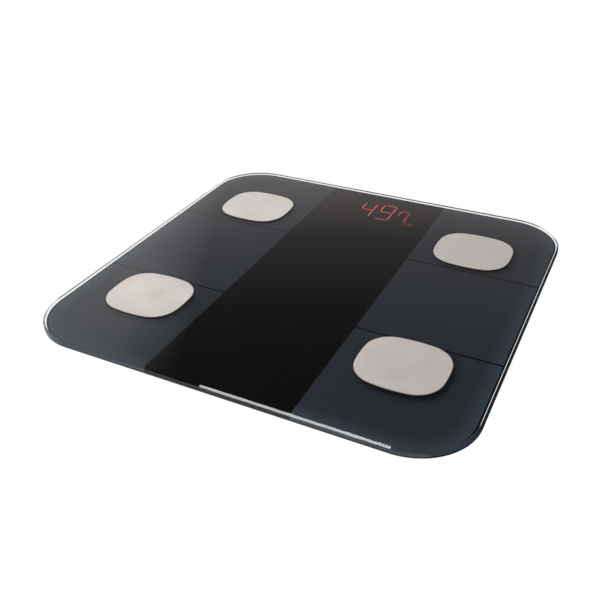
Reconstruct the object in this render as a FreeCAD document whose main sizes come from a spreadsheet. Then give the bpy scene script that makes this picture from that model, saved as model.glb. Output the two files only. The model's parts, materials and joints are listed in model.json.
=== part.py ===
"""Digital body-composition bathroom scale: a tempered glass platform on a shallow moulded base.

Millimetres, +Z up. The origin is on the floor under the middle of the platform; +Y points away from
the user, towards the display, and +X to the user's right.
"""
import FreeCAD, Part
import Sketcher
import math
import os
import re

Vector = FreeCAD.Vector
UP = Vector(0, 0, 1)

# ---------------------------------------------------------------- driving dimensions

SIZES = {
    # how far a cutter runs past a face, and how far a fused piece sinks into its neighbour
    "overcut": 1.0,
    "sink": 0.4,
    # platform
    "glass_width": 300.0,
    "glass_depth": 292.0,
    "glass_corner": 40.0,
    "glass_thickness": 5.0,
    "glass_bottom": 19.0,
    "glass_bevel": 1.1,
    "glass_arris": 0.5,
    "film_thickness": 0.3,
    "film_inset": 1.9,
    # electrodes: a soft square drawn with four shallow arcs and four corner arcs
    "electrode_x": 93.0,
    "electrode_y": 77.0,
    "electrode_half_width": 28.44,
    "electrode_half_depth": 25.65,
    "electrode_end_arc": 85.2,
    "electrode_side_arc": 80.5,
    "electrode_corner": 18.3,
    "electrode_thickness": 0.6,
    "electrode_edge": 0.3,
    "gasket_thickness": 0.35,
    "gasket_overhang": 0.45,
    "stud_radius": 2.0,
    "stud_length": 9.15,
    "stud_clearance": 0.6,
    "nut_corner_radius": 4.05,
    "nut_height": 2.4,
    "terminal_thickness": 0.3,
    "terminal_radius": 4.2,
    "terminal_tail": 9.0,
    "terminal_tail_width": 3.0,
    # base shell
    "base_bottom": 4.0,
    "base_top": 17.9,
    "base_skin": 2.0,
    "base_wall": 2.46,
    "base_top_inset": 8.0,
    "base_bottom_inset": 18.0,
    "base_edge": 1.0,
    "inner_bottom_inset": 19.0,
    "flange_height": 1.5,
    "flange_width": 5.0,
    "tape_margin": 0.5,
    "tape_height": 0.8,
    "rib_thickness": 1.6,
    "rib_top": 12.0,
    "rib_length": 265.0,
    "rib_offset_x": 60.0,
    "rib_offset_y": 50.0,
    # feet and load cells
    "foot_x": 100.0,
    "foot_y": 96.0,
    "rubber_radius": 16.0,
    "rubber_height": 1.8,
    "rubber_recess_radius": 9.0,
    "rubber_recess": 0.8,
    "foot_radius": 17.0,
    "foot_bottom": 1.3,
    "foot_socket": 0.5,
    "foot_flange_radius": 19.0,
    "foot_flange_bottom": 6.1,
    "foot_flange_top": 8.0,
    "foot_boss_radius": 5.0,
    "cell_bottom": 9.5,
    "cell_size": 34.0,
    "cell_thickness": 2.5,
    "cell_corner": 4.0,
    "cell_rail": 6.0,
    "cell_slot": 4.0,
    "cell_root": 8.0,
    "gauge_length": 9.0,
    "gauge_width": 6.0,
    "gauge_height": 0.9,
    "recess_radius": 27.0,
    "recess_ceiling": 13.2,
    "tower_radius": 29.0,
    "tower_top": 14.5,
    "corner_pad": 6.5,
    "lead_slot_length": 8.0,
    "lead_slot_width": 5.0,
    "retainer_radius": 26.6,
    "retainer_inner_radius": 19.8,
    "retainer_hole_radius": 17.6,
    "retainer_floor": 1.6,
    "retainer_screw_circle": 23.2,
    "screw_boss_radius": 2.8,
    "screw_head_radius": 2.4,
    "screw_head_height": 1.3,
    "screw_head_clearance": 0.2,
    "screw_shank_radius": 1.25,
    "screw_cross_width": 0.7,
    "screw_cross_length": 3.0,
    "screw_cross_depth": 0.8,
    "retainer_screw_length": 8.0,
    "board_screw_length": 5.0,
    # battery compartment, centred on the middle line
    "battery_y": 46.0,
    "battery_length": 50.0,
    "battery_breadth": 33.5,
    "battery_wall": 4.2,
    "battery_ceiling": 17.2,
    "battery_ceiling_thickness": 1.0,
    "battery_pitch": 11.0,
    "battery_height": 11.9,
    "aaa_radius": 5.25,
    "aaa_body_length": 43.5,
    "aaa_nipple_radius": 1.9,
    "aaa_nipple_length": 1.0,
    "contact_thickness": 0.3,
    "contact_width": 8.6,
    "contact_height": 9.0,
    "leaf_width": 6.0,
    "leaf_thickness": 0.3,
    "leaf_foot": 4.2,
    "leaf_bend": 3.4,
    "leaf_reach": 4.6,
    "leaf_crest": 0.5,
    "leaf_tip": 1.2,
    # battery door
    "door_length": 54.0,
    "door_breadth": 38.0,
    "door_thickness": 1.8,
    "door_corner": 3.0,
    "door_gap": 0.4,
    "rebate_depth": 1.95,
    "door_rib_height": 0.5,
    "door_rib_thickness": 1.2,
    "door_rib_length": 42.0,
    "hook_width": 8.0,
    "hook_offset": 16.0,
    "hook_neck": 1.8,
    "hook_inset": 0.2,
    "hook_reach": 2.2,
    "hook_bottom": 6.3,
    "hook_top": 7.4,
    "hook_room_top": 8.5,
    "latch_width": 14.0,
    "latch_thickness": 1.2,
    "latch_inset": 0.6,
    "latch_top": 10.8,
    "latch_room_top": 12.0,
    "latch_bump": 0.6,
    "latch_bump_bottom": 7.0,
    "latch_bump_height": 1.4,
    "notch_length": 18.0,
    "notch_breadth": 7.0,
    "notch_depth": 1.2,
    # main circuit board
    "board_y": 82.0,
    "board_length": 84.0,
    "board_breadth": 28.0,
    "board_bottom": 10.5,
    "board_thickness": 1.6,
    "board_corner": 1.5,
    "post_radius": 3.0,
    "post_offset_x": 38.5,
    "post_offset_y": 10.5,
    "controller_size": 9.0,
    "controller_height": 1.4,
    "controller_x": -22.0,
    "controller_y": 90.0,
    "radio_length": 17.0,
    "radio_breadth": 11.0,
    "radio_board": 0.8,
    "radio_can_length": 11.0,
    "radio_can_height": 1.8,
    "radio_can_shift": 2.5,
    "radio_x": 24.0,
    "radio_y": 74.2,
    "capacitor_radius": 3.15,
    "capacitor_height": 5.0,
    "capacitor_x": -22.0,
    "capacitor_y": 75.0,
    "crystal_length": 10.5,
    "crystal_breadth": 4.4,
    "crystal_height": 3.4,
    "crystal_x": -6.0,
    "crystal_y": 92.0,
    "connector_length": 6.0,
    "connector_breadth": 6.5,
    "connector_height": 3.8,
    "connector_x": 37.0,
    "connector_spread": 4.6,
    "electrode_connector_length": 20.0,
    "electrode_connector_breadth": 7.0,
    "electrode_connector_height": 4.6,
    # unit button and its switch
    "button_x": 26.0,
    "button_y": 90.5,
    "button_radius": 4.0,
    "button_gap": 0.4,
    "button_bottom": 4.2,
    "button_flange_radius": 5.2,
    "button_flange_bottom": 6.3,
    "button_top": 7.0,
    "button_dish_radius": 9.0,
    "button_dish": 0.25,
    "switch_size": 6.0,
    "switch_height": 2.6,
    "switch_hole_radius": 2.2,
    "switch_hole_depth": 2.0,
    "plunger_radius": 1.75,
    "plunger_length": 1.6,
    # display
    "display_x": 10.9,
    "display_y": 115.0,
    "display_board_length": 66.0,
    "display_board_breadth": 33.0,
    "display_board_shift": -0.4,
    "display_board_bottom": 12.6,
    "display_post_x": 30.0,
    "display_post_y": 12.5,
    "display_post_shift": -2.5,
    "reflector_length": 54.0,
    "reflector_breadth": 31.0,
    "reflector_height": 4.2,
    "reflector_corner": 1.0,
    "diffuser_thickness": 0.25,
    "digit_width": 10.9,
    "digit_height": 26.2,
    "digit_left_x": -8.2,
    "digit_middle_x": 8.4,
    "digit_small_x": 23.5,
    "digit_small_width": 8.5,
    "digit_small_height": 20.0,
    "segment_width": 1.3,
    "segment_gap": 0.5,
    "segment_depth": 3.0,
    "point_x": 16.6,
    "point_radius": 0.8,
    "unit_mark_x": 32.0,
    "unit_mark_length": 6.2,
    "unit_mark_breadth": 4.4,
    "ribbon_width": 14.0,
    "ribbon_thickness": 0.3,
    "ribbon_arch": 4.0,
    # leads
    "cell_lead_radius": 0.45,
    "cell_lead_pitch": 1.0,
    "cell_lead_height": 12.6,
    "cell_lead_lane": 50.0,
    "electrode_lead_radius": 0.6,
    "electrode_lead_height": 17.75,
    "electrode_lead_lane": 66.0,
    "electrode_lead_low": 14.8,
    "battery_lead_radius": 0.7,
    "battery_lead_lane": 34.0,
    # rating label, left blank
    "label_y": -45.0,
    "label_length": 64.0,
    "label_breadth": 38.0,
    "label_thickness": 0.12,
}

CORNERS = {
    "front_left": (-1, -1),
    "front_right": (1, -1),
    "back_left": (-1, 1),
    "back_right": (1, 1),
}

doc = FreeCAD.newDocument("bathroom_scale")
sheet = doc.addObject("Spreadsheet::Sheet", "dim")
for row, (alias, number) in enumerate(SIZES.items(), start=1):
    sheet.set(f"A{row}", alias)
    sheet.set(f"B{row}", str(number))
    sheet.setAlias(f"B{row}", alias)
doc.recompute()

SUBPARTS = []


def value(alias):
    """A driving dimension as a number, read from the sheet."""
    return float(sheet.get(alias))


def bound(expression):
    """Put the sheet's name before each dimension named in an expression."""
    return re.sub(r"\b[a-z]\w*", r"dim.\g<0>", expression)


def first_value(expression):
    """The first dimension an expression names: a start for the sketch solver."""
    return value(re.search(r"\b[a-z]\w*", expression).group(0))


def bind(obj, **expressions):
    for name, expression in expressions.items():
        obj.setExpression(name, bound(expression))
    return obj


def place(obj, x="0", y="0", z="0"):
    for axis, expression in zip("xyz", (x, y, z)):
        obj.setExpression(f".Placement.Base.{axis}", bound(expression))
    return obj


def subpart(obj, label):
    """Name an object as one of the pieces that are written out."""
    obj.Label = label
    SUBPARTS.append(obj)
    return obj


# ---------------------------------------------------------------- Part primitives and booleans

def box(size, at):
    """A block centred on at in X and Y, with its bottom at at's Z."""
    length, width, height = size
    x, y, z = at
    block = doc.addObject("Part::Box", "block")
    bind(block, Length=length, Width=width, Height=height)
    return place(block, f"{x} - ({length}) / 2", f"{y} - ({width}) / 2", z)


def cylinder(radius, height, at):
    rod = doc.addObject("Part::Cylinder", "rod")
    bind(rod, Radius=radius, Height=height)
    return place(rod, *at)


def lying_cylinder(radius, length, at):
    """A cylinder along +X that starts at at."""
    rod = cylinder(radius, length, at)
    rod.Placement.Rotation = FreeCAD.Rotation(Vector(0, 1, 0), 90)
    return rod


def fuse(pieces):
    joined = doc.addObject("Part::MultiFuse", "joined")
    joined.Shapes = pieces
    joined.Refine = True
    return joined


def cut(base, tools):
    tool = tools[0]
    if len(tools) > 1:
        tool = fuse(tools)
    carved = doc.addObject("Part::Cut", "carved")
    carved.Base = base
    carved.Tool = tool
    carved.Refine = True
    return carved


def group(pieces):
    """Separate solids that share one node."""
    gathered = doc.addObject("Part::Compound", "gathered")
    gathered.Links = pieces
    return gathered


# ---------------------------------------------------------------- sketched bodies

def new_sketch(body, plane="XY_Plane", lift="0"):
    sketch = body.newObject("Sketcher::SketchObject", "outline")
    support = next(item for item in body.Origin.OriginFeatures if item.Role == plane)
    sketch.AttachmentSupport = [(support, "")]
    sketch.MapMode = "FlatFace"
    sketch.setExpression(".AttachmentOffset.Base.z", bound(lift))
    return sketch


def constrain(sketch, name, constraint, expression):
    """Add a named constraint whose size comes from the sheet."""
    constraint.Name = name
    sketch.addConstraint(constraint)
    sketch.setExpression(f"Constraints.{name}", bound(expression))


def round_rectangle(sketch, width, depth, corner):
    """Four lines and four tangent corner arcs about the sketch's origin."""
    half_x = first_value(width) / 2
    half_y = first_value(depth) / 2
    radius = min(first_value(corner), 0.8 * half_x, 0.8 * half_y)
    inner_x = half_x - radius
    inner_y = half_y - radius
    flat = [
        (Vector(-inner_x, -half_y), Vector(inner_x, -half_y)),
        (Vector(half_x, -inner_y), Vector(half_x, inner_y)),
        (Vector(inner_x, half_y), Vector(-inner_x, half_y)),
        (Vector(-half_x, inner_y), Vector(-half_x, -inner_y)),
    ]
    centres = [(inner_x, -inner_y), (inner_x, inner_y), (-inner_x, inner_y), (-inner_x, -inner_y)]
    for start, end in flat:
        sketch.addGeometry(Part.LineSegment(start, end))
    for index, (x, y) in enumerate(centres):
        circle = Part.Circle(Vector(x, y), UP, radius)
        turn = math.radians(90 * index - 90)
        sketch.addGeometry(Part.ArcOfCircle(circle, turn, turn + math.pi / 2))
    start_point, end_point, centre_point = 1, 2, 3
    origin = (-1, 1)
    for index in range(4):
        arc = 4 + index
        following = (index + 1) % 4
        sketch.addConstraint(Sketcher.Constraint("Tangent", index, end_point, arc, start_point))
        sketch.addConstraint(Sketcher.Constraint("Tangent", arc, end_point, following, start_point))
    for index, direction in enumerate(("Horizontal", "Vertical", "Horizontal", "Vertical")):
        sketch.addConstraint(Sketcher.Constraint(direction, index))
    for arc in (5, 6, 7):
        sketch.addConstraint(Sketcher.Constraint("Equal", 4, arc))
    diagonal = (4, centre_point, 6, centre_point)
    sketch.addConstraint(Sketcher.Constraint("Symmetric", *diagonal, *origin))
    constrain(sketch, "corner", Sketcher.Constraint("Radius", 4, radius), corner)
    across = Sketcher.Constraint("DistanceX", 3, start_point, 1, start_point, 2 * half_x)
    constrain(sketch, "width", across, width)
    along = Sketcher.Constraint("DistanceY", 0, start_point, 2, start_point, 2 * half_y)
    constrain(sketch, "depth", along, depth)


def soft_square(sketch, overhang):
    """The electrode's outline: four shallow arcs, each centred on an axis."""
    half_x = value("electrode_half_width")
    half_y = value("electrode_half_depth")
    end_arc = value("electrode_end_arc")
    side_arc = value("electrode_side_arc")
    centre_y = end_arc - half_y
    centre_x = side_arc - half_x
    apart = math.hypot(centre_x, centre_y)
    along = (apart ** 2 + side_arc ** 2 - end_arc ** 2) / (2 * apart)
    aside = math.sqrt(side_arc ** 2 - along ** 2)
    # the corner where the right-hand arc, centred at (-centre_x, 0), meets the top arc
    corner_x = -centre_x + (along * centre_x + aside * centre_y) / apart
    corner_y = (aside * centre_x - along * centre_y) / apart
    end_angle = math.atan2(corner_y + centre_y, corner_x)
    side_angle = math.atan2(corner_y, corner_x + centre_x)
    arcs = [
        (Vector(-centre_x, 0), side_arc, -side_angle, side_angle),
        (Vector(0, -centre_y), end_arc, end_angle, math.pi - end_angle),
        (Vector(centre_x, 0), side_arc, math.pi - side_angle, math.pi + side_angle),
        (Vector(0, centre_y), end_arc, math.pi + end_angle, 2 * math.pi - end_angle),
    ]
    for centre, radius, first, last in arcs:
        sketch.addGeometry(Part.ArcOfCircle(Part.Circle(centre, UP, radius), first, last))
    start_point, end_point, centre_point = 1, 2, 3
    x_axis, y_axis = -1, -2
    for index in range(4):
        following = (index + 1) % 4
        joint = Sketcher.Constraint("Coincident", index, end_point, following, start_point)
        sketch.addConstraint(joint)
        axis = x_axis if index % 2 == 0 else y_axis
        sketch.addConstraint(Sketcher.Constraint("PointOnObject", index, centre_point, axis))
    sides = (("side", 0, "electrode_side_arc"), ("end", 1, "electrode_end_arc"))
    for name, index, radius in sides:
        size = Sketcher.Constraint("Radius", index, value(radius))
        constrain(sketch, f"{name}_arc", size, f"{radius} + {overhang}")
        sketch.addConstraint(Sketcher.Constraint("Equal", index, index + 2))
    origin = (-1, 1)
    reaches = (
        ("right", "X", (0, centre_point), origin, "electrode_side_arc - electrode_half_width"),
        ("far", "Y", (1, centre_point), origin, "electrode_end_arc - electrode_half_depth"),
        ("left", "X", origin, (2, centre_point), "electrode_side_arc - electrode_half_width"),
        ("near", "Y", origin, (3, centre_point), "electrode_end_arc - electrode_half_depth"),
    )
    for name, axis, low, high, expression in reaches:
        reach = Sketcher.Constraint(f"Distance{axis}", *low, *high, first_value(expression) / 2)
        constrain(sketch, name, reach, expression)


def pad(body, sketch, length):
    slab = body.newObject("PartDesign::Pad", "slab")
    slab.Profile = sketch
    bind(slab, Length=length)
    doc.recompute()
    return slab


def upright_edges(feature):
    """Names of the straight edges that run along Z."""
    names = []
    for index, edge in enumerate(feature.Shape.Edges, start=1):
        first, last = edge.Vertexes[0].Point, edge.Vertexes[-1].Point
        if math.hypot(last.x - first.x, last.y - first.y) < 1e-6 and abs(last.z - first.z) > 1e-6:
            names.append(f"Edge{index}")
    return names


def level_edges(feature, height):
    """Names of the edges that lie in the horizontal plane at the given height."""
    names = []
    for index, edge in enumerate(feature.Shape.Edges, start=1):
        bounds = edge.BoundBox
        if abs(bounds.ZMin - height) < 1e-4 and abs(bounds.ZMax - height) < 1e-4:
            names.append(f"Edge{index}")
    return names


def dress(body, kind, feature, edges, **sizes):
    """A fillet or chamfer on named edges of a body's last feature."""
    dressed = body.newObject(f"PartDesign::{kind}", kind.lower())
    dressed.Base = (feature, edges)
    bind(dressed, **sizes)
    doc.recompute()
    return dressed


def rounded_plate(width, depth, height, corner, at):
    body = doc.addObject("PartDesign::Body", "plate")
    sketch = new_sketch(body)
    round_rectangle(sketch, width, depth, corner)
    pad(body, sketch, height)
    return place(body, *at)


def rounded_ring(width, depth, corner, band, height, bottom):
    """A flat frame: a rounded plate with a smaller rounded plate cut out of it."""
    middle = ("0", "0", bottom)
    outer = rounded_plate(width, depth, height, corner, middle)
    inner = rounded_plate(
        f"{width} - 2 * ({band})", f"{depth} - 2 * ({band})", height, f"{corner} - ({band})", middle
    )
    return cut(outer, [inner])


# ---------------------------------------------------------------- swept leads

def rounded_path(points, largest):
    """Straight runs joined by tangent arcs no larger than the given radius."""
    edges = []
    here = points[0]
    for before, corner, after in zip(points, points[1:], points[2:]):
        back = (before - corner).normalize()
        ahead = (after - corner).normalize()
        half_turn = (math.pi - back.getAngle(ahead)) / 2
        shorter = min((before - corner).Length, (after - corner).Length)
        radius = min(largest, 0.45 * shorter / math.tan(half_turn))
        reach = radius * math.tan(half_turn)
        start = corner + back * reach
        end = corner + ahead * reach
        middle_line = (back + ahead).normalize()
        crown = corner + middle_line * (radius / math.cos(half_turn) - radius)
        edges.append(Part.LineSegment(here, start).toShape())
        edges.append(Part.Arc(start, crown, end).toShape())
        here = end
    edges.append(Part.LineSegment(here, points[-1]).toShape())
    return Part.Wire(edges)


def tube(path, radius):
    """A round lead along a path, with its volume compared with section times length."""
    first = path.Edges[0]
    start = first.valueAt(first.FirstParameter)
    direction = first.tangentAt(first.FirstParameter)
    section = Part.Wire(Part.makeCircle(radius, start, direction))
    solid = path.makePipeShell([section], True, False)
    expected = math.pi * radius ** 2 * path.Length
    if abs(solid.Volume - expected) > 0.02 * expected:
        raise RuntimeError(f"lead volume {solid.Volume:.1f} is not {expected:.1f}")
    return solid


def strip(path, width, thickness, across):
    """A flat band along a path that lies at right angles to across."""
    first = path.Edges[0]
    start = first.valueAt(first.FirstParameter)
    outward = first.tangentAt(first.FirstParameter).cross(across).normalize()
    outline = []
    for wide, thick in ((-1, -1), (1, -1), (1, 1), (-1, 1), (-1, -1)):
        outline.append(start + across * (wide * width / 2) + outward * (thick * thickness / 2))
    return path.makePipeShell([Part.makePolygon(outline)], True, True)


def shaped(shape, label):
    """A piece whose shape is worked out from the sheet, for what the features above can't make."""
    feature = doc.addObject("Part::Feature", label)
    feature.Shape = shape
    feature.Placement = FreeCAD.Placement()
    return subpart(feature, label)


# ---------------------------------------------------------------- platform

def make_glass():
    body = doc.addObject("PartDesign::Body", "glass_platform")
    sketch = new_sketch(body)
    round_rectangle(sketch, "glass_width", "glass_depth", "glass_corner")
    slab = pad(body, sketch, "glass_thickness")
    top_rim = level_edges(slab, value("glass_thickness"))
    bevelled = dress(body, "Chamfer", slab, top_rim, Size="glass_bevel")
    bottom_rim = level_edges(bevelled, 0.0)
    dress(body, "Chamfer", bevelled, bottom_rim, Size="glass_arris")
    holes = new_sketch(body)
    for name, (side, end) in CORNERS.items():
        index = drill(holes, side, end)
        bind_centre(holes, index, name, side, end)
    pocket = body.newObject("PartDesign::Pocket", "stud_pocket")
    pocket.Profile = holes
    pocket.Type = "ThroughAll"
    pocket.Midplane = True
    place(body, "0", "0", "glass_bottom")
    subpart(body, "glass_platform")


def drill(sketch, side, end):
    """A circle for one electrode stud."""
    centre = Vector(side * value("electrode_x"), end * value("electrode_y"))
    radius = value("stud_radius") + value("stud_clearance")
    return sketch.addGeometry(Part.Circle(centre, UP, radius))


def bind_centre(sketch, index, name, side, end):
    centre_point = 3
    origin = (-1, 1)
    for axis, sign, alias in (("X", side, "electrode_x"), ("Y", end, "electrode_y")):
        first, second = (origin, (index, centre_point))
        if sign < 0:
            first, second = second, first
        distance = Sketcher.Constraint(f"Distance{axis}", *first, *second, value(alias))
        constrain(sketch, f"{name}_{axis.lower()}", distance, alias)
    size = Sketcher.Constraint("Radius", index, value("stud_radius"))
    constrain(sketch, f"{name}_radius", size, "stud_radius + stud_clearance")


def make_film():
    plate = rounded_plate(
        "glass_width - 2 * film_inset",
        "glass_depth - 2 * film_inset",
        "film_thickness",
        "glass_corner - film_inset",
        ("0", "0", "glass_bottom - film_thickness"),
    )
    holes = []
    for side, end in CORNERS.values():
        at = (f"{side} * electrode_x", f"{end} * electrode_y", "glass_bottom - film_thickness - overcut")
        holes.append(cylinder("stud_radius + stud_clearance", "film_thickness + 2 * overcut", at))
    subpart(cut(plate, holes), "print_film")


def electrode_plate(overhang, thickness, edge):
    """A soft-square plate; its corner arcs grow with the overhang."""
    body = doc.addObject("PartDesign::Body", "soft_square")
    sketch = new_sketch(body)
    soft_square(sketch, overhang)
    slab = pad(body, sketch, thickness)
    corners = upright_edges(slab)
    rounded = dress(body, "Fillet", slab, corners, Radius=f"electrode_corner + {overhang}")
    if edge:
        rim = level_edges(rounded, value("electrode_thickness"))
        dress(body, "Fillet", rounded, rim, Radius=edge)
    return body


def make_electrodes():
    """Four stamped steel pads, each with a stud through the glass, on a thin gasket."""
    glass_top = "glass_bottom + glass_thickness"
    pad_bottom = f"{glass_top} + gasket_thickness"
    gaskets = []
    nuts = []
    terminals = []
    for name, (side, end) in CORNERS.items():
        x, y = f"{side} * electrode_x", f"{end} * electrode_y"
        plate = electrode_plate("0", "electrode_thickness", "electrode_edge")
        place(plate, x, y, pad_bottom)
        stud = cylinder("stud_radius", "stud_length + sink", (x, y, f"{pad_bottom} - stud_length"))
        subpart(fuse([plate, stud]), f"electrode_pad_{name}")

        sheet_piece = electrode_plate("gasket_overhang", "gasket_thickness", None)
        place(sheet_piece, x, y, glass_top)
        hole = cylinder("stud_radius", "2 * overcut", (x, y, f"{glass_top} - overcut"))
        gaskets.append(cut(sheet_piece, [hole]))

        film_bottom = "glass_bottom - film_thickness"
        terminal_bottom = f"{film_bottom} - terminal_thickness"
        ring = cylinder("terminal_radius", "terminal_thickness", (x, y, terminal_bottom))
        tail = box(
            ("terminal_tail", "terminal_tail_width", "terminal_thickness"),
            (f"{x} - {side} * terminal_tail / 2", y, terminal_bottom),
        )
        bore = cylinder("stud_radius", "2 * overcut", (x, y, f"{terminal_bottom} - overcut"))
        terminals.append(cut(fuse([ring, tail]), [bore]))

        hexagon = doc.addObject("Part::Prism", "hexagon")
        hexagon.Polygon = 6
        bind(hexagon, Circumradius="nut_corner_radius", Height="nut_height")
        nut_bottom = f"{terminal_bottom} - nut_height"
        place(hexagon, x, y, nut_bottom)
        thread = cylinder("stud_radius", "nut_height + 2 * overcut", (x, y, f"{nut_bottom} - overcut"))
        nuts.append(cut(hexagon, [thread]))
    subpart(group(gaskets), "electrode_gaskets")
    subpart(group(nuts), "electrode_nuts")
    subpart(group(terminals), "electrode_terminals")


def make_bond_tape():
    ring = rounded_ring(
        "glass_width - 2 * base_top_inset - 2 * tape_margin",
        "glass_depth - 2 * base_top_inset - 2 * tape_margin",
        "glass_corner - base_top_inset - tape_margin",
        "flange_width - 2 * tape_margin",
        "tape_height",
        "base_top",
    )
    subpart(ring, "glass_bond_tape")


# ---------------------------------------------------------------- base shell

def flared(bottom_inset, bottom, top_inset, top):
    """A rounded block that widens from one inset of the glass outline to another."""
    body = doc.addObject("PartDesign::Body", "flared")
    outlines = []
    for inset, height in ((bottom_inset, bottom), (top_inset, top)):
        sketch = new_sketch(body, lift=height)
        round_rectangle(
            sketch,
            f"glass_width - 2 * ({inset})",
            f"glass_depth - 2 * ({inset})",
            f"glass_corner - ({inset})",
        )
        outlines.append(sketch)
    loft = body.newObject("PartDesign::AdditiveLoft", "flare")
    loft.Profile = outlines[0]
    loft.Sections = [outlines[1]]
    loft.Ruled = True
    return body


def tray():
    """The flared shell with a bevelled lower edge and an inward flange for the bond tape."""
    slope = "(base_bottom_inset - base_top_inset) / (base_top - base_bottom)"
    edge_top = "base_bottom + base_edge"
    edge_inset = f"base_bottom_inset - {slope} * base_edge"
    bevel = flared("base_bottom_inset + base_edge", "base_bottom", edge_inset, edge_top)
    sides = flared(edge_inset, edge_top, "base_top_inset", "base_top")
    hollow = flared(
        "inner_bottom_inset", "base_bottom + base_skin", "base_top_inset + base_wall", "base_top"
    )
    flange = rounded_ring(
        "glass_width - 2 * base_top_inset",
        "glass_depth - 2 * base_top_inset",
        "glass_corner - base_top_inset",
        "flange_width",
        "flange_height",
        "base_top - flange_height",
    )
    # the flange's outer side follows the flared wall
    flange_inset = f"base_top_inset + {slope} * flange_height"
    wedge = flared(flange_inset, "base_top - flange_height", "base_top_inset", "base_top")
    rim = doc.addObject("Part::MultiCommon", "rim")
    rim.Shapes = [flange, wedge]
    return fuse([cut(fuse([bevel, sides]), [hollow]), rim])


def ribs():
    floor = "base_bottom + base_skin / 2"
    rise = f"rib_top - ({floor})"
    bars = []
    for side in (-1, 1):
        size = ("rib_thickness", "rib_length - glass_width + glass_depth", rise)
        bars.append(box(size, (f"{side} * rib_offset_x", "0", floor)))
    for step in (-1, 0, 1):
        size = ("rib_length", "rib_thickness", rise)
        bars.append(box(size, ("0", f"{step} * rib_offset_y", floor)))
    return bars


def posts():
    """Round posts that carry the two circuit boards, each with its own screw hole."""
    floor = "base_bottom + base_skin / 2"
    columns = []
    holes = []
    for x, y, top in board_fixings():
        columns.append(cylinder("post_radius", f"{top} - ({floor})", (x, y, floor)))
        hole_bottom = f"{top} + board_thickness - board_screw_length"
        holes.append(cylinder("screw_shank_radius", "board_screw_length", (x, y, hole_bottom)))
    return columns, holes


def board_fixings():
    """Where the screws of the main board and of the display board stand."""
    places = []
    for side, end in CORNERS.values():
        x = f"{side} * post_offset_x"
        y = f"board_y + {end} * post_offset_y"
        places.append((x, y, "board_bottom"))
    for side, end in CORNERS.values():
        x = f"display_x + {side} * display_post_x"
        y = f"display_y + display_post_shift + {end} * display_post_y"
        places.append((x, y, "display_board_bottom"))
    return places


def retainer_screw_places(side, end):
    """Three screws about each foot, clear of the lead that leaves towards the middle."""
    places = []
    for turn in (60, 180, 300):
        across = -side * math.cos(math.radians(turn))
        along = math.sin(math.radians(turn))
        x = f"{side} * foot_x + {across:.6f} * retainer_screw_circle"
        y = f"{end} * foot_y + {along:.6f} * retainer_screw_circle"
        places.append((x, y))
    return places


def foot_housing(side, end):
    """What one corner adds to the base and what it takes away, for a load cell and its foot."""
    x, y = f"{side} * foot_x", f"{end} * foot_y"
    tower = cylinder("tower_radius", "tower_top - base_bottom - sink", (x, y, "base_bottom + sink"))
    recess_height = "recess_ceiling - base_bottom + overcut"
    recess = cylinder("recess_radius", recess_height, (x, y, "base_bottom - overcut"))
    cell_top = "cell_bottom + cell_thickness"
    lead_slot = box(
        ("lead_slot_length", "lead_slot_width", f"recess_ceiling - ({cell_top}) + sink"),
        (f"{x} - {side} * (tower_radius - 1)", y, f"{cell_top} - sink"),
    )
    inside = []
    for step_x in (-1, 1):
        for step_y in (-1, 1):
            shift = "(cell_size - corner_pad) / 2"
            at = (f"{x} + {step_x} * {shift}", f"{y} + {step_y} * {shift}", cell_top)
            size = ("corner_pad", "corner_pad", f"recess_ceiling - ({cell_top}) + sink")
            inside.append(box(size, at))
    holes = []
    for screw_x, screw_y in retainer_screw_places(side, end):
        boss_height = "recess_ceiling - cell_bottom + sink"
        inside.append(cylinder("screw_boss_radius", boss_height, (screw_x, screw_y, "cell_bottom")))
        depth = "retainer_screw_length - (cell_bottom - base_bottom - screw_head_height)"
        holes.append(cylinder("screw_shank_radius", depth, (screw_x, screw_y, "cell_bottom")))
    return tower, [recess, lead_slot], inside, holes


def battery_box():
    """The battery compartment's block and what is cut out of it from below."""
    block = box(
        (
            "battery_length + 2 * battery_wall",
            "battery_breadth + 2 * battery_wall",
            "battery_ceiling + battery_ceiling_thickness - base_bottom - sink",
        ),
        ("0", "battery_y", "base_bottom + sink"),
    )
    room = box(
        ("battery_length", "battery_breadth", "battery_ceiling - base_bottom + overcut"),
        ("0", "battery_y", "base_bottom - overcut"),
    )
    rebate = rounded_plate(
        "door_length + 2 * door_gap",
        "door_breadth + 2 * door_gap",
        "rebate_depth + overcut",
        "door_corner + door_gap",
        ("0", "battery_y", "base_bottom - overcut"),
    )
    cuts = [room, rebate]
    rebate_top = "base_bottom + rebate_depth"
    front_edge = "battery_y - door_breadth / 2"
    for side in (-1, 1):
        breadth = "hook_reach + hook_neck + 3 * door_gap"
        cuts.append(box(
            ("hook_width + 2 * door_gap", breadth, f"hook_room_top - ({rebate_top}) + sink"),
            (
                f"{side} * hook_offset",
                f"{front_edge} - hook_reach - door_gap + ({breadth}) / 2",
                f"{rebate_top} - sink",
            ),
        ))
    latch_breadth = "latch_inset + latch_thickness + latch_bump + 4 * door_gap"
    cuts.append(box(
        ("latch_width + 4", latch_breadth, f"latch_room_top - ({rebate_top}) + sink"),
        ("0", f"battery_y + battery_breadth / 2 + ({latch_breadth}) / 2 - sink", f"{rebate_top} - sink"),
    ))
    cuts.append(rounded_plate(
        "notch_length",
        "2 * notch_breadth",
        "notch_depth + overcut",
        "door_corner",
        ("0", "battery_y + door_breadth / 2", "base_bottom - overcut"),
    ))
    for side, step in ((-1, -1), (1, 1)):
        start = f"{side} * (battery_length / 2 + battery_wall / 2) - battery_wall / 2 - sink"
        lead_axis = "board_bottom + board_thickness + battery_lead_radius"
        at = (start, f"battery_y + {step} * battery_pitch", lead_axis)
        cuts.append(lying_cylinder("battery_lead_radius", "battery_wall + 2 * sink", at))
    return block, cuts


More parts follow.
